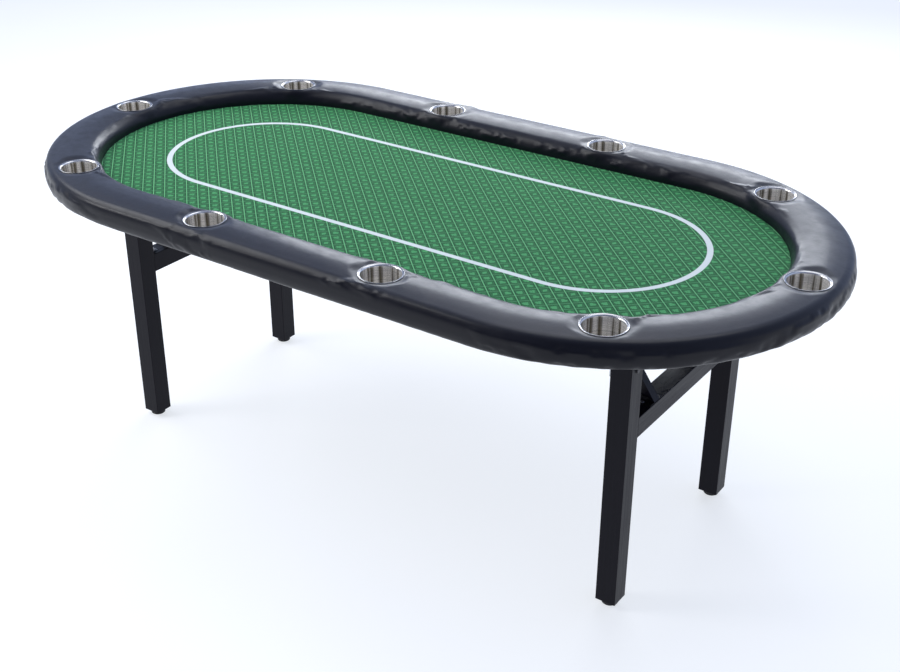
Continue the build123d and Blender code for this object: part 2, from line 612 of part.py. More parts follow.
# ---------------------------------------------------------------- braces

def brace():
    """A flat bar, round at its pivot and cut level where it stands on the cross bar."""
    lean = radians(BRACE_LEAN)
    half = BRACE_WIDE / 2
    outer = (brace_x + half * cos(lean), BRACE_PIVOT_Z + half * sin(lean))
    inner = (brace_x - half * cos(lean), BRACE_PIVOT_Z - half * sin(lean))
    feet = [(x + (z - brace_end_z) * tan(lean), brace_end_z) for x, z in (outer, inner)]
    shape = make_face(Plane.XZ * Polyline(outer, feet[0], feet[1], inner, close=True))
    body = Pos(0, BRACE_Y, 0) * extrude(shape, amount=BRACE_THICK / 2, both=True)
    faces = (BRACE_Y - BRACE_THICK / 2, BRACE_Y + BRACE_THICK / 2)
    body += rod_y(brace_x, BRACE_PIVOT_Z, half, *faces)
    return body - rod_y(brace_x, BRACE_PIVOT_Z, BRACE_PIN + RUNNING, *faces)


def make_braces():
    for name, (side_x, side_y) in QUARTERS.items():
        save(f"brace_{name}", place(brace(), side_x, side_y))


# ---------------------------------------------------------------- levelling feet

def foot_pad():
    pad = post(LEG_X, LEG_Y, FOOT_RADIUS, 0, FOOT_TOP)
    pad = fillet(pad.edges().sort_by(Axis.Z)[-1], FOOT_ROUND)
    pad = chamfer(pad.edges().sort_by(Axis.Z)[0], FOOT_CHAMFER)
    return pad - post(LEG_X, LEG_Y, STUD + RUNNING, STUD_BASE, FOOT_TOP)


def make_feet():
    stud = post(LEG_X, LEG_Y, STUD, STUD_BASE, STUD_TOP)
    for name, (side_x, side_y) in QUARTERS.items():
        save(f"foot_pad_{name}", place(foot_pad(), side_x, side_y))
        save(f"foot_stud_{name}", place(stud, side_x, side_y))


os.makedirs("parts", exist_ok=True)
make_tabletop()
make_rail()
make_cups()
make_underside()
make_leg_frames()
make_braces()
make_feet()
length = 2 * (STRAIGHT + RAIL_SIDE)
print(f"cup spacing {spacing:.1f}, fold axis at x {hinge_x:.1f} z {hinge_z:.1f}, brace pivot x {brace_x:.2f}")
print(f"overall {length:.0f} x {2 * RAIL_SIDE:.0f} x {RAIL_CREST:.0f}")
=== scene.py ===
import json
from math import atan2, cos, exp, hypot, pi, radians, sin

import bmesh
import bpy
from mathutils import Matrix, Vector, noise


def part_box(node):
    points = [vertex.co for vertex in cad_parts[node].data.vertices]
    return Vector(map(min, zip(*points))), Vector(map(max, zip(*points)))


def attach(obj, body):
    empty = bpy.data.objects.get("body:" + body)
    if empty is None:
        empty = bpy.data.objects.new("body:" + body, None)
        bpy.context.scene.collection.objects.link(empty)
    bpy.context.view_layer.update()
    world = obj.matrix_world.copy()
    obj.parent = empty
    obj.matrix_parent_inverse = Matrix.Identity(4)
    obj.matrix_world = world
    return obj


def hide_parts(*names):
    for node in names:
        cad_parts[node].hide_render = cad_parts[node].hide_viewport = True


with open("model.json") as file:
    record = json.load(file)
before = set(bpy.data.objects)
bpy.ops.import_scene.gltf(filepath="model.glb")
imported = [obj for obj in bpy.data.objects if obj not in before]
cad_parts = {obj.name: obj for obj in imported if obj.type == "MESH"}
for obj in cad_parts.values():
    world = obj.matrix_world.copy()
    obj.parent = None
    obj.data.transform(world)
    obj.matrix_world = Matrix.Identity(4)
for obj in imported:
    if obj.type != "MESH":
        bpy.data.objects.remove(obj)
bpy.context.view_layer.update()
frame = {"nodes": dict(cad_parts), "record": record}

# Folding ten-seat poker table, in metres, in the CAD's frame: +X along the table, +Z up, the floor
# at Z 0. The CAD nodes stay for everything hard. The rail's vinyl cover, the playing cloth and the
# cup holders are modelled here.

nodes = frame["nodes"]
scene = bpy.context.scene

# Racetrack outline shared by the cloth, the rail and the line on the cloth
STRAIGHT = 0.508                # half the length of the straight sides
CUP_RING = 0.480                # radius of the line that the cups stand on
RING_LENGTH = 4 * STRAIGHT + 2 * pi * CUP_RING
CUPS = [f"{n:02d}" for n in range(1, 11)]

cup_centres = []
for number in CUPS:
    low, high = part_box(f"cup_holder_{number}")
    cup_centres.append(((low.x + high.x) / 2, (low.y + high.y) / 2))
cup_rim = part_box("cup_holder_01")[1].z

CAMERA_PLACE = (1.8081, -2.4566, 1.9549)
CAMERA_TURN = (0.6094, 0.485, 0.0031)       # yaw, pitch and roll, in radians
CAMERA_LENS = 53.27
SENSOR_WIDTH = 36.0


# ------------------------------------------------------------------ camera and lights

def make_camera():
    yaw, pitch, roll = CAMERA_TURN
    forward = Vector((-sin(yaw) * cos(pitch), cos(yaw) * cos(pitch), -sin(pitch)))
    level = Vector((cos(yaw), sin(yaw), 0))
    above = level.cross(forward)
    right = cos(roll) * level + sin(roll) * above
    up = cos(roll) * above - sin(roll) * level
    data = bpy.data.cameras.new("camera")
    data.lens, data.sensor_width = CAMERA_LENS, SENSOR_WIDTH
    camera = bpy.data.objects.new("camera", data)
    scene.collection.objects.link(camera)
    turn = Matrix((right, up, -forward)).transposed().to_4x4()
    camera.matrix_world = Matrix.Translation(CAMERA_PLACE) @ turn
    scene.camera = camera


def soft_box(name, place, aim, size, radiance, tint=(1, 1, 1)):
    """A rectangular studio light that the camera doesn't see."""
    data = bpy.data.lights.new(name, "AREA")
    data.shape = "RECTANGLE"
    data.size, data.size_y = size
    data.energy = radiance * pi * size[0] * size[1]
    data.color = tint
    light = bpy.data.objects.new(name, data)
    scene.collection.objects.link(light)
    light.location = place
    light.rotation_euler = (Vector(aim) - Vector(place)).to_track_quat("-Z", "Y").to_euler()
    light.visible_camera = False


make_camera()


# ------------------------------------------------------------------ material building

class Shade:
    """One procedural material, with short calls for its nodes. Sizes are in metres."""

    def __init__(self, name, **constants):
        self.material = bpy.data.materials.new(name)
        self.material.use_nodes = True
        self.tree = self.material.node_tree
        self.surface = self.tree.nodes["Principled BSDF"]
        for socket, value in constants.items():
            self.surface.inputs[socket.replace("_", " ")].default_value = value
        self.coordinates = self.tree.nodes.new("ShaderNodeTexCoord").outputs["Object"]

    def wire(self, socket, value):
        if isinstance(value, bpy.types.NodeSocket):
            self.tree.links.new(value, socket)
        else:
            socket.default_value = value

    def add(self, kind, *values, out=0, **settings):
        """A node of this kind, with its first inputs and its settings. Gives one output."""
        node = self.tree.nodes.new("ShaderNode" + kind)
        for setting, value in settings.items():
            setattr(node, setting, value)
        for socket, value in zip(node.inputs, values):
            if value is not None:
                self.wire(socket, value)
        return node.outputs[out]

    def math(self, operation, *values):
        return self.add("Math", *values, operation=operation)

    def axes(self, vector=None):
        """The three coordinates, each on its own."""
        node = self.tree.nodes.new("ShaderNodeSeparateXYZ")
        self.wire(node.inputs[0], vector or self.coordinates)
        return node.outputs

    def point(self, x, y, z=0.0):
        return self.add("CombineXYZ", x, y, z)

    def stretched(self, scale, turn=(0, 0, 0)):
        """Object coordinates, turned and then scaled along each axis."""
        turned = self.add("VectorRotate", self.coordinates, rotation_type="EULER_XYZ")
        self.tree.nodes[-1].inputs["Rotation"].default_value = turn
        return self.add("VectorMath", turned, scale, operation="MULTIPLY")

    def noise(self, scale, detail=3.0, rough=0.5, vector=None):
        node = self.tree.nodes.new("ShaderNodeTexNoise")
        self.wire(node.inputs["Vector"], vector or self.coordinates)
        node.inputs["Scale"].default_value = scale
        node.inputs["Detail"].default_value = detail
        node.inputs["Roughness"].default_value = rough
        return node.outputs[0]

    def cells(self, scale, out="Distance"):
        node = self.tree.nodes.new("ShaderNodeTexVoronoi")
        self.wire(node.inputs["Vector"], self.coordinates)
        node.inputs["Scale"].default_value = scale
        return node.outputs[out]

    def span(self, value, low, high, to_low=0.0, to_high=1.0):
        """A value from low to high carried smoothly to another range."""
        node = self.tree.nodes.new("ShaderNodeMapRange")
        node.interpolation_type = "SMOOTHSTEP"
        for socket, given in zip(node.inputs, (value, low, high, to_low, to_high)):
            self.wire(socket, given)
        return node.outputs[0]

    def mix(self, factor, first, second):
        """Two colours mixed."""
        node = self.tree.nodes.new("ShaderNodeMix")
        node.data_type = "RGBA"
        for socket, value in ((node.inputs[0], factor), (node.inputs[6], first), (node.inputs[7], second)):
            if isinstance(value, tuple):
                value = (*value, 1.0)
            self.wire(socket, value)
        return node.outputs[2]

    def finish(self, color, rough, height=None, depth=0.0002, tangent=None):
        """Colour, roughness and a bump of this depth, wired to the surface."""
        self.wire(self.surface.inputs["Base Color"], color)
        self.wire(self.surface.inputs["Roughness"], rough)
        if height is not None:
            bump = self.tree.nodes.new("ShaderNodeBump")
            bump.inputs["Distance"].default_value = depth
            self.wire(bump.inputs["Height"], height)
            self.wire(self.surface.inputs["Normal"], bump.outputs[0])
        if tangent is not None:
            self.wire(self.surface.inputs["Tangent"], tangent)
        return self.material


def both(shade, first, second):
    return shade.math("MULTIPLY", first, second)


def either(shade, first, second):
    return shade.math("MAXIMUM", first, second)


# ------------------------------------------------------------------ materials

CLOTH_REPEAT = (0.038, 0.0375)      # lattice repeat along X and along Y
LATTICE_GAP = 26.7                  # millimetres from one lattice line to the next
MARK_SCALE = 410                    # half a cell's size in metres becomes the suit marks' own units
LINE_RADIUS = 0.251                 # the white line's middle, at the ends
LINE_STRAIGHT = 0.500
LINE_HALF_WIDTH = 0.0070


def suit_marks(s, x, y):
    """Four plain card suits, about 16 mm high, as masks over a cell's own units of 1.2 mm."""
    def disc(cx, cy, radius):
        away = s.math("POWER", s.math("ADD", s.math("POWER", s.math("SUBTRACT", x, cx), 2.0),
                                      s.math("POWER", s.math("SUBTRACT", y, cy), 2.0)), 0.5)
        return s.span(away, radius + 0.5, radius - 0.5)

    def below(value, limit):
        return s.span(value, limit + 0.4, limit - 0.4)

    wide = s.math("ABSOLUTE", x)
    down = s.math("MULTIPLY", y, -1.0)
    diamond = below(s.math("ADD", s.math("MULTIPLY", wide, 1.35), s.math("ABSOLUTE", y)), 6.5)
    stem = both(s, below(wide, 1.1), both(s, below(y, -1.0), below(down, 6.5)))

    def leaf(height, other):
        """A point towards one end and two lobes at the other."""
        lobes = s.math("SUBTRACT", wide, 2.7)
        away = s.math("POWER", s.math("ADD", s.math("POWER", lobes, 2.0),
                                      s.math("POWER", s.math("SUBTRACT", height, 1.6), 2.0)), 0.5)
        taper = below(s.math("SUBTRACT", s.math("MULTIPLY", wide, 1.2), height), 6.2)
        return either(s, s.span(away, 3.9, 2.9), both(s, taper, below(height, 1.2)))

    heart = leaf(y, down)
    spade = either(s, leaf(down, y), stem)
    lower = either(s, disc(-3.1, -1.2, 2.8), disc(3.1, -1.2, 2.8))
    club = either(s, disc(0.0, 3.0, 2.8), either(s, lower, stem))
    return diamond, heart, spade, club


def playing_cloth():
    """Green speed cloth: a printed diamond lattice with suit marks, and a white racetrack line."""
    s = Shade("playing_cloth", Specular_IOR_Level=0.10, Sheen_Weight=0.05, Sheen_Roughness=0.5)
    x, y = s.axes()[:2]
    across = s.math("DIVIDE", x, CLOTH_REPEAT[0])
    along = s.math("DIVIDE", y, CLOTH_REPEAT[1])
    falling = s.math("ADD", across, along)
    rising = s.math("SUBTRACT", across, along)

    def from_line(value):
        nearest = s.math("ABSOLUTE", s.math("SUBTRACT", s.math("FRACT", s.math("ADD", value, 0.5)), 0.5))
        return s.math("MULTIPLY", nearest, LATTICE_GAP)

    main, cross = from_line(falling), from_line(rising)
    main_line = s.span(main, 1.6, 0.9)
    main_edge = both(s, s.span(main, 4.2, 3.0), s.span(main, 1.3, 1.8))
    cross_line = s.span(cross, 1.2, 0.6)
    cross_edge = both(s, s.span(cross, 3.4, 2.4), s.span(cross, 0.9, 1.3))

    cell_f = s.math("SUBTRACT", s.math("FRACT", falling), 0.5)
    cell_r = s.math("SUBTRACT", s.math("FRACT", rising), 0.5)
    local_x = s.math("MULTIPLY", s.math("ADD", cell_f, cell_r), CLOTH_REPEAT[0] * MARK_SCALE)
    local_y = s.math("MULTIPLY", s.math("SUBTRACT", cell_f, cell_r), CLOTH_REPEAT[1] * MARK_SCALE)
    kind = s.math("FLOORED_MODULO", s.math("ADD", s.math("FLOOR", falling),
                                           s.math("MULTIPLY", s.math("FLOOR", rising), 2.0)), 4.0)
    marks = None
    for number, mark in enumerate(suit_marks(s, local_x, local_y)):
        here = both(s, mark, s.math("COMPARE", kind, float(number), 0.5))
        marks = here if marks is None else either(s, marks, here)

    mottle = s.noise(900.0, 4.0, 0.7)
    drift = s.noise(9.0, 2.0)
    color = s.mix(drift, (0.013, 0.104, 0.033), (0.020, 0.136, 0.044))
    color = s.mix(both(s, marks, 0.90), color, (0.064, 0.315, 0.108))
    edges = either(s, both(s, main_edge, 0.92), both(s, cross_edge, 0.90))
    color = s.mix(edges, color, (0.004, 0.048, 0.015))
    color = s.mix(both(s, main_line, 0.95), color, (0.120, 0.410, 0.165))
    color = s.mix(both(s, cross_line, 0.85), color, (0.100, 0.370, 0.145))

    beyond = s.math("MAXIMUM", s.math("SUBTRACT", s.math("ABSOLUTE", x), LINE_STRAIGHT), 0.0)
    reach = s.math("SQRT", s.math("ADD", s.math("POWER", beyond, 2.0), s.math("POWER", y, 2.0)))
    off_line = s.math("ABSOLUTE", s.math("SUBTRACT", reach, LINE_RADIUS))
    ragged = s.math("ADD", off_line, s.math("MULTIPLY", s.noise(700.0, 2.0), 0.0006))
    color = s.mix(s.span(ragged, LINE_HALF_WIDTH + 0.0006, LINE_HALF_WIDTH), color, (0.66, 0.70, 0.69))
    color = s.mix(s.math("MULTIPLY", mottle, 0.25), color, (0.010, 0.070, 0.025))

    thread = s.add("VectorMath", s.coordinates, (1 / 0.0011, 1 / 0.0011, 0), operation="MULTIPLY")
    tx, ty = s.axes(thread)[:2]
    warp, weft = (s.math("SINE", s.math("MULTIPLY", t, 2 * pi)) for t in (tx, ty))
    rough = s.span(mottle, 0.2, 0.8, 0.72, 0.92)
    return s.finish(color, rough, s.math("ADD", both(s, warp, weft), mottle), 0.00012)


def rail_vinyl():
    """Glossy black leatherette: pebbled grain, faint streaks and a worn sheen."""
    s = Shade("rail_vinyl", Coat_Weight=0.06, Coat_Roughness=0.20, Specular_IOR_Level=0.20)
    streaks = s.noise(1.0, 5.0, 0.65, s.stretched((26.0, 34.0, 60.0), (0, 0, 0.35)))
    clouds = s.noise(7.0, 3.0)
    color = s.mix(streaks, (0.0028, 0.0030, 0.0060), (0.0065, 0.0068, 0.0120))
    color = s.mix(s.span(clouds, 0.35, 0.75), color, (0.0045, 0.0048, 0.0085))
    rough = s.math("ADD", s.span(streaks, 0.3, 0.75, 0.27, 0.40), s.math("MULTIPLY", clouds, 0.06))
    pebbles = s.cells(620.0)
    creases = s.noise(1.0, 4.0, 0.6, s.stretched((150.0, 90.0, 150.0), (0, 0, 0.35)))
    height = s.math("ADD", s.math("MULTIPLY", pebbles, 0.6), both(s, creases, 1.6))
    return s.finish(color, rough, height, 0.00009)


def painted_wood(name, scale, turn=(0, 0, 0)):
    """Satin black paint over wood, its grain still showing along the piece, scuffed in places."""
    s = Shade(name, Specular_IOR_Level=0.12)
    grain = s.noise(1.0, 6.0, 0.6, s.stretched(scale, turn))
    pores = s.noise(1.0, 2.0, 0.5, s.stretched(tuple(2.7 * v for v in scale), turn))
    scuffs = s.span(s.noise(55.0, 5.0, 0.7), 0.60, 0.78)
    color = s.mix(grain, (0.0028, 0.0026, 0.0054), (0.0066, 0.0060, 0.0112))
    color = s.mix(both(s, scuffs, 0.30), color, (0.022, 0.021, 0.025))
    rough = s.math("ADD", s.span(grain, 0.3, 0.7, 0.30, 0.42), s.math("MULTIPLY", scuffs, 0.15))
    return s.finish(color, rough, s.math("ADD", grain, s.math("MULTIPLY", pores, 0.6)), 0.00025)


def plywood():
    """Birch plywood: flat figure on the faces, dark glue lines on the edges."""
    s = Shade("plywood", Specular_IOR_Level=0.3)
    figure = s.noise(1.0, 6.0, 0.6, s.stretched((3.0, 45.0, 45.0)))
    warp = s.noise(2.2, 3.0)
    y, z = s.axes()[1:]
    wavy = s.math("ADD", s.math("MULTIPLY", y, 22.0), s.math("MULTIPLY", warp, 9.0))
    rings = s.math("SINE", s.math("MULTIPLY", wavy, 6.0))
    color = s.mix(figure, (0.50, 0.33, 0.17), (0.66, 0.47, 0.27))
    color = s.mix(s.span(rings, 0.2, 1.0, 0.0, 0.30), color, (0.40, 0.24, 0.11))
    ply = s.math("FRACT", s.math("DIVIDE", z, 0.0030))
    glue = s.span(s.math("ABSOLUTE", s.math("SUBTRACT", ply, 0.5)), 0.38, 0.47)
    up = s.axes(s.add("NewGeometry", out="Normal"))[2]
    edge = s.span(s.math("ABSOLUTE", up), 0.6, 0.3)
    color = s.mix(both(s, edge, both(s, glue, 0.75)), color, (0.13, 0.06, 0.025))
    relief = s.math("SUBTRACT", figure, both(s, edge, glue))
    return s.finish(color, s.span(figure, 0.3, 0.7, 0.55, 0.75), relief, 0.0002)


def bare_wood():
    """Beech dowels, with short dark flecks along the grain."""
    s = Shade("bare_wood", Specular_IOR_Level=0.3)
    grain = s.noise(1.0, 5.0, 0.6, s.stretched((260.0, 18.0, 260.0)))
    flecks = s.span(s.noise(1.0, 2.0, 0.5, s.stretched((900.0, 90.0, 900.0))), 0.60, 0.68)
    color = s.mix(grain, (0.46, 0.27, 0.13), (0.62, 0.41, 0.22))
    color = s.mix(both(s, flecks, 0.6), color, (0.24, 0.12, 0.05))
    return s.finish(color, s.span(grain, 0.3, 0.7, 0.5, 0.7), grain, 0.0001)


def padding_foam():
    """Open-cell foam, its pits darkened with painted shade."""
    s = Shade("padding_foam", Specular_IOR_Level=0.15)
    pores = s.cells(650.0)
    patches = s.noise(14.0, 3.0)
    color = s.mix(patches, (0.62, 0.59, 0.49), (0.74, 0.72, 0.64))
    # painted shade: the foam's pits are darkened towards brown, standing in for the shade inside its open
    # cells
    color = s.mix(s.span(pores, 0.45, 0.05, 0.0, 0.7), color, (0.30, 0.27, 0.20))
    return s.finish(color, s.span(patches, 0.3, 0.7, 0.88, 0.98), pores, 0.0005)


def metal(name, dark, light, rough, spangle, scratch_depth=0.00004):
    """Plated or blackened steel with a patchy finish and fine handling scratches."""
    s = Shade(name, Metallic=1.0)
    patches = s.cells(spangle, out="Color")
    tone = s.axes(patches)[0]
    blur = s.noise(60.0, 4.0, 0.6)
    scratches = s.noise(1.0, 3.0, 0.7, s.stretched((2200.0, 160.0, 700.0), (0.4, 0.3, 0.5)))
    color = s.mix(s.math("MULTIPLY_ADD", tone, 0.5, s.math("MULTIPLY", blur, 0.5)), dark, light)
    roughness = s.math("ADD", s.span(blur, 0.3, 0.7, *rough), s.math("MULTIPLY", tone, 0.08))
    return s.finish(color, roughness, scratches, scratch_depth)


def cup_steel():
    """Stainless steel, turned: fine rings on the floor, with painted reflections: upright bands of light
    painted into the wall's colour, and a rim painted darker.
    """
    s = Shade("cup_steel", Anisotropic=0.6)
    x, y, z = s.axes()
    # painted reflection: stretched noise that draws upright bands of reflected light on the wall
    painted_light_bands = s.noise(1.0, 3.0, 0.75, s.stretched((62.0, 62.0, 1.5)))
    fine = s.noise(1.0, 2.0, 0.6, s.stretched((420.0, 420.0, 5.0)))
    radius = s.math("SQRT", s.math("ADD", s.math("POWER", x, 2.0), s.math("POWER", y, 2.0)))
    rings = s.noise(1.0, 3.0, 0.7, s.point(s.math("MULTIPLY", radius, 2600.0), s.math("MULTIPLY", z, 2600.0)))
    # the wall, where the painted bands of light go
    wall = both(s, s.span(z, -0.002, -0.006), s.span(radius, 0.036, 0.041))
    # painted reflection: the pattern of the wall's painted bands of light
    tone = s.math("ADD", s.math("MULTIPLY", painted_light_bands, 0.88), s.math("MULTIPLY", fine, 0.12))
    plain = s.mix(rings, (0.50, 0.49, 0.47), (0.66, 0.65, 0.63))
    # painted reflection: the flange and the rolled lip are darkened towards grey, standing in for the dark
    # reflection on the rim
    painted_rim_reflection = s.span(radius, 0.0445, 0.0462)
    plain = s.mix(both(s, painted_rim_reflection, 0.75), plain, (0.20, 0.20, 0.20))
    # painted reflection: dark and bright colours for the wall's painted bands of reflected light
    painted_band_color = s.mix(s.span(tone, 0.40, 0.57), (0.15, 0.130, 0.095), (0.90, 0.87, 0.81))
    color = s.mix(wall, plain, painted_band_color)
    # painted reflection: the wall is made partly non-metallic, so its painted bands show as diffuse colour
    s.wire(s.surface.inputs["Metallic"], s.math("SUBTRACT", 1.0, both(s, wall, 0.45)))
    rough = s.math("ADD", s.span(rings, 0.3, 0.7, 0.16, 0.26), s.math("MULTIPLY", wall, 0.06))
    ring_way = s.add("Tangent", direction_type="RADIAL", axis="Z")
    return s.finish(color, rough, rings, 0.00002, ring_way)


def foot_rubber():
    """Black moulded rubber with a matt, slightly dusty skin."""
    s = Shade("foot_rubber", Specular_IOR_Level=0.35)
    skin = s.noise(420.0, 3.0)
    dust = s.span(s.noise(70.0, 4.0, 0.6), 0.50, 0.72)
    color = s.mix(skin, (0.010, 0.010, 0.011), (0.020, 0.020, 0.021))
    color = s.mix(both(s, dust, 0.30), color, (0.075, 0.072, 0.068))
    return s.finish(color, s.span(skin, 0.3, 0.7, 0.55, 0.75), skin, 0.0002)


def pale_floor():
    s = Shade("pale_floor", Specular_IOR_Level=0.0)
    tone = s.noise(1.5, 2.0)
    s.surface.inputs["Emission Color"].default_value = (0.94, 0.97, 1.0, 1)
    s.surface.inputs["Emission Strength"].default_value = 0.68
    return s.finish(s.mix(tone, (0.38, 0.38, 0.38), (0.41, 0.41, 0.41)), s.span(tone, 0.3, 0.7, 0.85, 0.95))


LEAN = radians(35)                  # of the braces
materials = {
    "rail_vinyl": rail_vinyl(),
    "playing_cloth": playing_cloth(),
    "padding_foam": padding_foam(),
    "plywood": plywood(),
    "bare_wood": bare_wood(),
    "cup_steel": cup_steel(),
    "foot_rubber": foot_rubber(),
    "zinc_steel": metal("zinc_steel", (0.30, 0.31, 0.33), (0.52, 0.53, 0.55), (0.30, 0.48), 260.0),
    "dark_steel": metal("dark_steel", (0.028, 0.028, 0.032), (0.075, 0.074, 0.078), (0.32, 0.50), 420.0),
}
paint = {                           # the grain follows each piece
    "leg": painted_wood("black_paint_upright", (150.0, 150.0, 5.0)),
    "cross": painted_wood("black_paint_across", (150.0, 5.0, 150.0)),
    "tabletop": painted_wood("black_paint_lengthwise", (5.0, 150.0, 150.0)),
    "right": painted_wood("black_paint_lean_right", (150.0, 150.0, 5.0), (0, -LEAN, 0)),
    "left": painted_wood("black_paint_lean_left", (150.0, 150.0, 5.0), (0, LEAN, 0)),
}


def material_of(node, slot):
    if slot != "black_paint":
        return materials[slot]
    words = node.split("_")
    return paint[words[-1] if words[0] == "brace" else words[0]]


# ------------------------------------------------------------------ mesh helpers

def smooth(value):
    """0 below 0, 1 above 1, and an even ease between."""
    value = min(max(value, 0.0), 1.0)
    return value * value * (3 - 2 * value)


def add_piece(name, mesh, material, body, replaced, place=(0, 0, 0)):
    """A finished piece, riding on its body in place of its CAD node."""
    for polygon in mesh.polygons:
        polygon.use_smooth = True
    mesh.set_sharp_from_angle(angle=radians(48))
    mesh.materials.clear()
    mesh.materials.append(material)
    piece = bpy.data.objects.new(name, mesh)
    piece.location = place
    scene.collection.objects.link(piece)
    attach(piece, body)
    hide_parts(replaced)
    return piece


def track(distance, radius):
    """A point this far round the cup line and out to this radius, counter-clockwise from the
    front left, with the outward direction there."""
    side, turn = 2 * STRAIGHT, pi * CUP_RING
    distance %= RING_LENGTH
    if distance < side:
        centre, angle = distance - STRAIGHT, -pi / 2
    elif distance < side + turn:
        centre, angle = STRAIGHT, (distance - side) / CUP_RING - pi / 2
    elif distance < 2 * side + turn:
        centre, angle = STRAIGHT - (distance - side - turn), pi / 2
    else:
        centre, angle = -STRAIGHT, (distance - 2 * side - turn) / CUP_RING + pi / 2
    out = Vector((cos(angle), sin(angle), 0))
    return Vector((centre, 0, 0)) + out * radius, out


def curve_through(points, count):
    """Evenly spaced points along a smooth line through these ones."""
    dense = []
    for k in range(len(points) - 1):
        a, b = points[max(k - 1, 0)], points[k]
        c, d = points[k + 1], points[min(k + 2, len(points) - 1)]
        for step in range(24):
            t = step / 24
            dense.append(tuple(0.5 * (2 * q + (r - p) * t + (2 * p - 5 * q + 4 * r - w) * t * t
                                      + (3 * q - p - 3 * r + w) * t ** 3)
                               for p, q, r, w in zip(a, b, c, d)))
    dense.append(points[-1])
    lengths = [0.0]
    for a, b in zip(dense, dense[1:]):
        lengths.append(lengths[-1] + hypot(b[0] - a[0], b[1] - a[1]))
    even, k = [], 0
    for n in range(count):
        target = lengths[-1] * n / (count - 1)
        while k < len(dense) - 2 and lengths[k + 1] < target:
            k += 1
        share = (target - lengths[k]) / (lengths[k + 1] - lengths[k])
        even.append((dense[k][0] + share * (dense[k + 1][0] - dense[k][0]),
                     dense[k][1] + share * (dense[k + 1][1] - dense[k][1])))
    return even, lengths[-1]


# ------------------------------------------------------------------ rail cover

STEPS, ROWS = 1260, 69              # round the table, and over the rail
SIM_STEP, SIM_ROW = 3, 2            # one simulated point for so many of them
COVER_BOTTOM = 0.7344
# The cover's cut, from the cloth over the crown and round to the hem, as radius and height
SECTION = [(0.4193, COVER_BOTTOM), (0.4192, 0.741), (0.4193, 0.748), (0.4201, 0.7543), (0.4223, 0.7608),
           (0.4260, 0.7669), (0.4306, 0.7717), (0.4376, 0.7761), (0.4455, 0.7787), (0.466, 0.7815),
           (0.488, 0.7828), (0.509, 0.7817), (0.530, 0.7792), (0.5405, 0.7775), (0.5483, 0.7737),
           (0.5536, 0.7665), (0.5560, 0.757), (0.5562, 0.747), (0.5558, 0.737), (0.5531, 0.7252),
           (0.5490, 0.7195), (0.5440, 0.7164), (0.5390, 0.7166), (0.5378, 0.7200), (0.5377, COVER_BOTTOM)]
CROWN_LEVEL = 0.76                  # above it the cups' holes are cut
HEM_LEVEL = 0.722                   # below it the simulated cover is held
HELD_ROUND_CUP = 0.057              # and this near to a cup's middle
SWELL = (-0.0012, 0.0032)           # the least and the most that the simulation may move the cover
HOLLOW_REACH = 0.085                # a cup presses the cover down this far from its middle
FLANGE_EDGE = 0.0508
DEEPEST = -0.0006                   # how far a crease may go in before it meets the padding
CUP_CUT = 0.0466                    # radius of the hole in the vinyl, under the cup's flange
SEAT = cup_rim - 0.0015             # the vinyl's height under the flange


def section_normals(section):
    normals = []
    for k in range(len(section)):
        (r0, z0), (r1, z1) = section[max(k - 1, 0)], section[min(k + 1, len(section) - 1)]
        size = hypot(r1 - r0, z1 - z0)
        normals.append((-(z1 - z0) / size, (r1 - r0) / size))
    return normals


def nearest_cup(point):
    """Distance to the nearest cup's middle, and the direction to it as an angle."""
    x, y = min(cup_centres, key=lambda c: (c[0] - point.x) ** 2 + (c[1] - point.y) ** 2)
    return hypot(point.x - x, point.y - y), atan2(point.y - y, point.x - x), (x, y)


def puffed(section, normals):
    """How far the stuffed vinyl swells between the places that hold it, on a coarse grid, from a
    cloth simulation with pressure inside."""
    steps, rows = STEPS // SIM_STEP, (ROWS - 1) // SIM_ROW + 1
    rest, outward, held = [], [], []
    for i in range(steps):
        for j in range(rows):
            radius, height = section[j * SIM_ROW]
            place, out = track(i * RING_LENGTH / steps, radius)
            place.z = height
            across, up = normals[j * SIM_ROW]
            rest.append(place)
            outward.append((out * across + Vector((0, 0, up))).normalized())
            near = nearest_cup(place)[0] < HELD_ROUND_CUP and height > CROWN_LEVEL
            if near or j < 3 or height < HEM_LEVEL:
                held.append(len(rest) - 1)
    faces = [(i * rows + j, (i + 1) % steps * rows + j, (i + 1) % steps * rows + j + 1, i * rows + j + 1)
             for i in range(steps) for j in range(rows - 1)]
    mesh = bpy.data.meshes.new("cover_at_rest")
    mesh.from_pydata([tuple(p) for p in rest], [], faces)
    cloth = bpy.data.objects.new("cover_at_rest", mesh)
    scene.collection.objects.link(cloth)
    cloth.vertex_groups.new(name="held").add(held, 1.0, "REPLACE")
    settings = cloth.modifiers.new("puff", "CLOTH").settings
    settings.quality = 4
    settings.mass = 0.3
    settings.tension_stiffness = settings.compression_stiffness = 25
    settings.shear_stiffness = 15
    settings.bending_stiffness = 2.0
    settings.shrink_min = -0.012
    settings.vertex_group_mass = "held"
    settings.use_pressure = True
    settings.uniform_pressure_force = 4.0
    settings.effector_weights.gravity = 0
    for number in range(1, 21):
        scene.frame_set(number)
    shaped = cloth.evaluated_get(bpy.context.evaluated_depsgraph_get()).data
    swell = [max(SWELL[0], min(SWELL[1], (v.co - p).dot(n)))
             for v, p, n in zip(shaped.vertices, rest, outward)]
    bpy.data.objects.remove(cloth)
    bpy.data.meshes.remove(mesh)
    scene.frame_set(1)
    return [swell[i * rows:(i + 1) * rows] for i in range(steps)]


def interpolated(grid, i, j):
    """The coarse grid's value at a fine point."""
    u, v = i / SIM_STEP, j / SIM_ROW
    i0, j0 = int(u), min(int(v), len(grid[0]) - 2)
    a, b = smooth(u - i0), v - j0
    first, second = grid[i0], grid[(i0 + 1) % len(grid)]
    return ((1 - a) * (first[j0] * (1 - b) + first[j0 + 1] * b)
            + a * (second[j0] * (1 - b) + second[j0 + 1] * b))


def ridge(value, middle, width):
    return exp(-((value - middle) / width) ** 2)


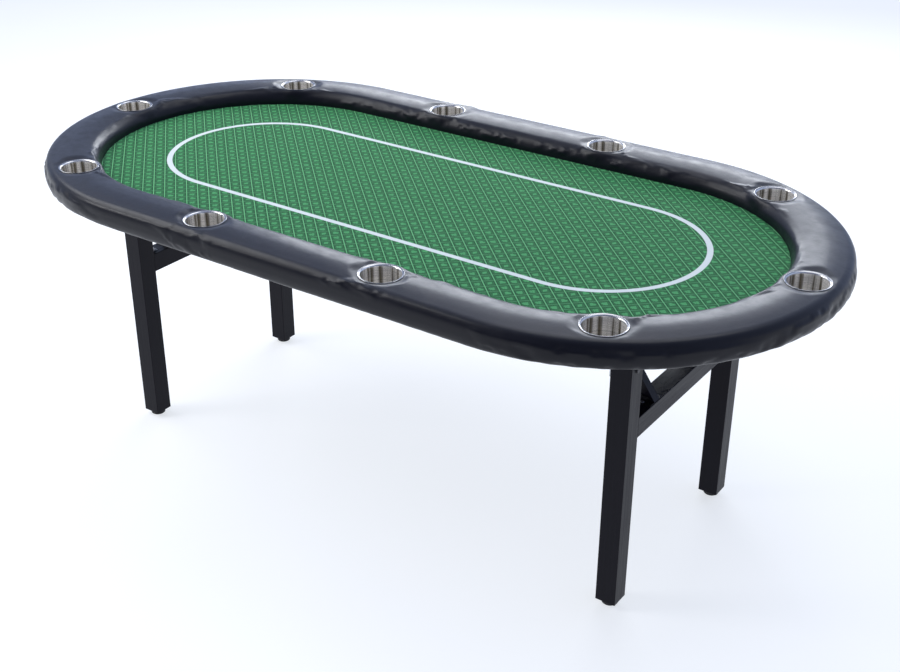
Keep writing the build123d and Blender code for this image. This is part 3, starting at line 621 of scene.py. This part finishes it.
def folds(distance, across, place):
    """The cover's own unevenness: slack over the foam, long creases on both shoulders, and
    gathers where the hem goes round the ends. across is the way over the rail, in metres."""
    turn = 2 * pi * distance / RING_LENGTH
    seam = Vector((cos(turn), sin(turn), 0)) * RING_LENGTH / (2 * pi)
    slack = noise.noise(seam * 5.0 + Vector((0, 0, across * 14))) * 0.0009
    ripple = noise.noise(seam * 16.0 + Vector((4, 0, across * 9))) * 0.00022
    end = smooth((abs(place.x) - STRAIGHT) / 0.12)
    hem = smooth((across - 0.168) / 0.05)
    gathers = noise.noise(seam * 42.0 + Vector((0, 7, across * 4))) * (0.0004 + 0.0007 * end) * hem
    foot = smooth((0.040 - across) / 0.03)
    pulls = noise.noise(seam * 34.0 + Vector((0, 3, across * 6))) * (0.0002 + 0.0004 * end) * foot
    wander = noise.noise(seam * 2.6) * 0.006
    present = smooth(noise.noise(seam * 3.1 + Vector((9, 0, 0))) * 2.2 + 0.75)
    outer = -0.0006 * ridge(across, 0.150 + wander, 0.0055) + 0.0004 * ridge(across, 0.160 + wander, 0.008)
    present_in = smooth(noise.noise(seam * 3.4 + Vector((0, 5, 2))) * 2.2 + 0.70)
    inner = -0.0004 * ridge(across, 0.060 - wander, 0.0060) + 0.0002 * ridge(across, 0.050 - wander, 0.008)
    return slack + ripple + gathers + pulls + outer * present + inner * present_in


def pressed_in(place):
    """A point of the cover, lowered into the hollow that a cup's flange presses round itself."""
    away, angle, (x, y) = nearest_cup(place)
    if away > HOLLOW_REACH or place.z < 0.750:
        return place
    middle = Vector((min(max(x, -STRAIGHT), STRAIGHT), 0, 0))
    out = Vector((x, y, 0)) - middle
    along = cos(angle - atan2(out.x, -out.y)) ** 2      # 1 along the rail, 0 across it
    lift = smooth((away - FLANGE_EDGE) / (0.014 + 0.012 * along))
    held = (1 - lift) * smooth((place.z - 0.750) / 0.016)
    pucker = 0.0004 * (1 + cos(9 * angle + 40 * x)) * along * ridge(away, 0.062, 0.008)
    return Vector((place.x, place.y, place.z + (SEAT - place.z) * held + pucker))


def make_rail_cover():
    section, over = curve_through(SECTION, ROWS)
    normals = section_normals(section)
    swell = puffed(section, normals)
    bm = bmesh.new()
    grid = []
    for i in range(STEPS):
        distance = i * RING_LENGTH / STEPS
        column = []
        for j, ((radius, height), (across, up)) in enumerate(zip(section, normals)):
            place, out = track(distance, radius)
            place.z = height
            way = over * j / (ROWS - 1)
            if 0 < j < ROWS - 4:
                move = folds(distance, way, place) * smooth(way / 0.012)
                move += interpolated(swell, i, j) if swell else 0
                place += (out * across + Vector((0, 0, up))) * max(move, DEEPEST)
            column.append(bm.verts.new(pressed_in(place)))
        grid.append(column)
    for i in range(STEPS):
        first, second = grid[i], grid[(i + 1) % STEPS]
        for j in range(ROWS - 1):
            bm.faces.new((first[j], second[j], second[j + 1], first[j + 1]))
    cut = [f for f in bm.faces if f.calc_center_median().z > CROWN_LEVEL
           and nearest_cup(f.calc_center_median())[0] < CUP_CUT]
    bmesh.ops.delete(bm, geom=cut, context="FACES")
    rims = [e for e in bm.edges if e.is_boundary and e.verts[0].co.z > CROWN_LEVEL]
    for vert in {v for e in rims for v in e.verts}:
        angle, (x, y) = nearest_cup(vert.co)[1:]
        vert.co = Vector((x + CUP_CUT * cos(angle), y + CUP_CUT * sin(angle), SEAT))
    made = bmesh.ops.extrude_edge_only(bm, edges=rims)["geom"]
    for vert in (v for v in made if isinstance(v, bmesh.types.BMVert)):
        vert.co.z = COVER_BOTTOM
    openings = [e for e in bm.edges if e.is_boundary]
    bmesh.ops.triangle_fill(bm, use_beauty=True, edges=openings, normal=(0, 0, 1))
    bmesh.ops.recalc_face_normals(bm, faces=bm.faces)
    mesh = bpy.data.meshes.new("rail_cover_vinyl")
    bm.to_mesh(mesh)
    bm.free()
    cover = add_piece("rail_cover_vinyl", mesh, materials["rail_vinyl"], "tabletop",
                      "rail_cover")


# ------------------------------------------------------------------ playing cloth

PLAY_RADIUS = 0.4185
CLOTH_RINGS, CLOTH_STEPS = 46, 420


def make_cloth():
    """The cloth, stretched over its thin foam, with its edge tucked down at the rail."""
    low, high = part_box("speed_cloth")
    bm = bmesh.new()
    rows = []
    for top in (True, False):
        for k in range(1, CLOTH_RINGS + 1):
            radius = PLAY_RADIUS * k / CLOTH_RINGS
            row = []
            for i in range(CLOTH_STEPS):
                place = track(i * RING_LENGTH / CLOTH_STEPS, radius)[0]
                place.z = high.z if top else low.z
                if top:
                    place.z -= 0.0004 * smooth((radius - PLAY_RADIUS) / 0.0095 + 1)
                    place.z += 0.00012 * (noise.noise(place * 7.0) - 1)
                row.append(bm.verts.new(place))
            rows.append(row)
    for upper in (0, CLOTH_RINGS):
        for k in range(upper, upper + CLOTH_RINGS - 1):
            for i in range(CLOTH_STEPS):
                j = (i + 1) % CLOTH_STEPS
                bm.faces.new((rows[k][i], rows[k][j], rows[k + 1][j], rows[k + 1][i]))
        inner = [bm.edges.get((rows[upper][i], rows[upper][(i + 1) % CLOTH_STEPS]))
                 for i in range(CLOTH_STEPS)]
        bmesh.ops.triangle_fill(bm, use_beauty=True, edges=inner, normal=(0, 0, 1))
    top_edge, bottom_edge = rows[CLOTH_RINGS - 1], rows[-1]
    for i in range(CLOTH_STEPS):
        j = (i + 1) % CLOTH_STEPS
        bm.faces.new((top_edge[i], bottom_edge[i], bottom_edge[j], top_edge[j]))
    bmesh.ops.recalc_face_normals(bm, faces=bm.faces)
    mesh = bpy.data.meshes.new("playing_surface_cloth")
    bm.to_mesh(mesh)
    bm.free()
    cloth = add_piece("playing_surface_cloth", mesh, materials["playing_cloth"], "tabletop",
                      "speed_cloth")


# ------------------------------------------------------------------ cup holders

CUP_SEGMENTS = 112
CUP_OUTSIDE = [(0, -0.075), (0.0385, -0.075), (0.0418, -0.0741), (0.0436, -0.0722), (0.044, -0.0695),
               (0.044, -0.0045), (0.0444, -0.0026), (0.0452, -0.0014), (0.0462, -0.0011), (0.0490, -0.0011),
               (0.0497, -0.0009), (0.0500, -0.0005), (0.0498, -0.0001), (0.0492, 0.0001)]
CUP_INSIDE = [(0.0484, -0.0002), (0.0468, -0.0006), (0.0454, -0.0011), (0.0443, -0.0022), (0.0436, -0.0040),
              (0.0432, -0.0070), (0.0430, -0.0130), (0.0429, -0.0400), (0.0430, -0.0690), (0.0426, -0.0712),
              (0.0412, -0.0731),
              (0.0388, -0.0740), (0.0315, -0.0740), (0.0300, -0.0738), (0.0285, -0.0732), (0.0270, -0.0730),
              (0.0120, -0.0731), (0, -0.0731)]


def make_cups():
    profile = CUP_OUTSIDE + CUP_INSIDE
    bm = bmesh.new()
    rings = []
    for radius, height in profile:
        if radius == 0:
            rings.append([bm.verts.new((0, 0, height))] * CUP_SEGMENTS)
        else:
            turns = [2 * pi * k / CUP_SEGMENTS for k in range(CUP_SEGMENTS)]
            rings.append([bm.verts.new((radius * cos(t), radius * sin(t), height)) for t in turns])
    for lower, upper in zip(rings, rings[1:]):
        for k in range(CUP_SEGMENTS):
            corners = [lower[k], lower[(k + 1) % CUP_SEGMENTS], upper[(k + 1) % CUP_SEGMENTS], upper[k]]
            bm.faces.new(list(dict.fromkeys(corners)))
    bmesh.ops.recalc_face_normals(bm, faces=bm.faces)
    mesh = bpy.data.meshes.new("cup_holder_steel")
    bm.to_mesh(mesh)
    bm.free()
    for number, (x, y) in zip(CUPS, cup_centres):
        add_piece(f"cup_{number}_steel", mesh, materials["cup_steel"], f"cup_{number}",
                  f"cup_holder_{number}", (x, y, cup_rim))


# ------------------------------------------------------------------ whole scene

def finish_cad_nodes():
    for subpart in frame["record"]["subparts"]:
        node = nodes[subpart["node"]]
        if not node.material_slots:
            node.data.materials.append(None)
        for holder in node.material_slots:
            holder.link = "OBJECT"
            holder.material = material_of(subpart["node"], subpart["material_slot"])


def make_floor():
    mesh = bpy.data.meshes.new("floor")
    half = 14.0
    corners = [(-half, -half, 0), (half, -half, 0), (half, half, 0), (-half, half, 0)]
    mesh.from_pydata(corners, [], [(0, 1, 2, 3)])
    mesh.materials.append(pale_floor())
    floor = bpy.data.objects.new("floor", mesh)
    floor.location.z = -0.0005
    scene.collection.objects.link(floor)


def make_light():
    world = bpy.data.worlds.new("studio")
    scene.world = world
    world.use_nodes = True
    tree = world.node_tree
    room = tree.nodes["Background"]
    room.inputs["Strength"].default_value = 1.0
    direction = tree.nodes.new("ShaderNodeTexCoord").outputs["Generated"]
    axes = tree.nodes.new("ShaderNodeSeparateXYZ")
    tree.links.new(direction, axes.inputs[0])
    fall = tree.nodes.new("ShaderNodeMapRange")
    tree.links.new(axes.outputs["Y"], fall.inputs[0])
    fall.inputs[1].default_value, fall.inputs[2].default_value = -0.9, 0.9
    blend = tree.nodes.new("ShaderNodeMix")
    blend.data_type = "RGBA"
    tree.links.new(fall.outputs[0], blend.inputs[0])
    blend.inputs[6].default_value = (0.17, 0.19, 0.28, 1)
    blend.inputs[7].default_value = (0.66, 0.80, 1.18, 1)
    seen = tree.nodes.new("ShaderNodeMix")
    seen.data_type = "RGBA"
    tree.links.new(tree.nodes.new("ShaderNodeLightPath").outputs["Is Camera Ray"], seen.inputs[0])
    tree.links.new(blend.outputs[2], seen.inputs[6])
    seen.inputs[7].default_value = (1, 1, 1, 1)
    tree.links.new(seen.outputs[2], room.inputs["Color"])
    soft_box("left_soft_box", (-2.5, -0.9, 3.1), (0, 0, 0.75), (3.2, 1.8), 4.6)
    soft_box("front_strip", (-4.4, -3.4, 2.75), (-0.5, -0.5, 0.77), (1.9, 0.8), 14.0)
    soft_box("overhead_soft_box", (0.3, 0.9, 3.4), (0, 0, 0.75), (2.6, 1.6), 2.6)
    soft_box("back_panel", (-1.8, 4.0, 2.2), (0, 0.4, 0.78), (3.2, 0.85), 9.5, (0.93, 0.96, 1.0))
    soft_box("back_upper_panel", (-1.6, 4.0, 3.25), (0, 0, 0.78), (3.0, 0.8), 1.9, (0.93, 0.96, 1.0))
    scene.view_settings.view_transform = "Standard"


finish_cad_nodes()
make_rail_cover()
make_cloth()
make_cups()
make_floor()
make_light()
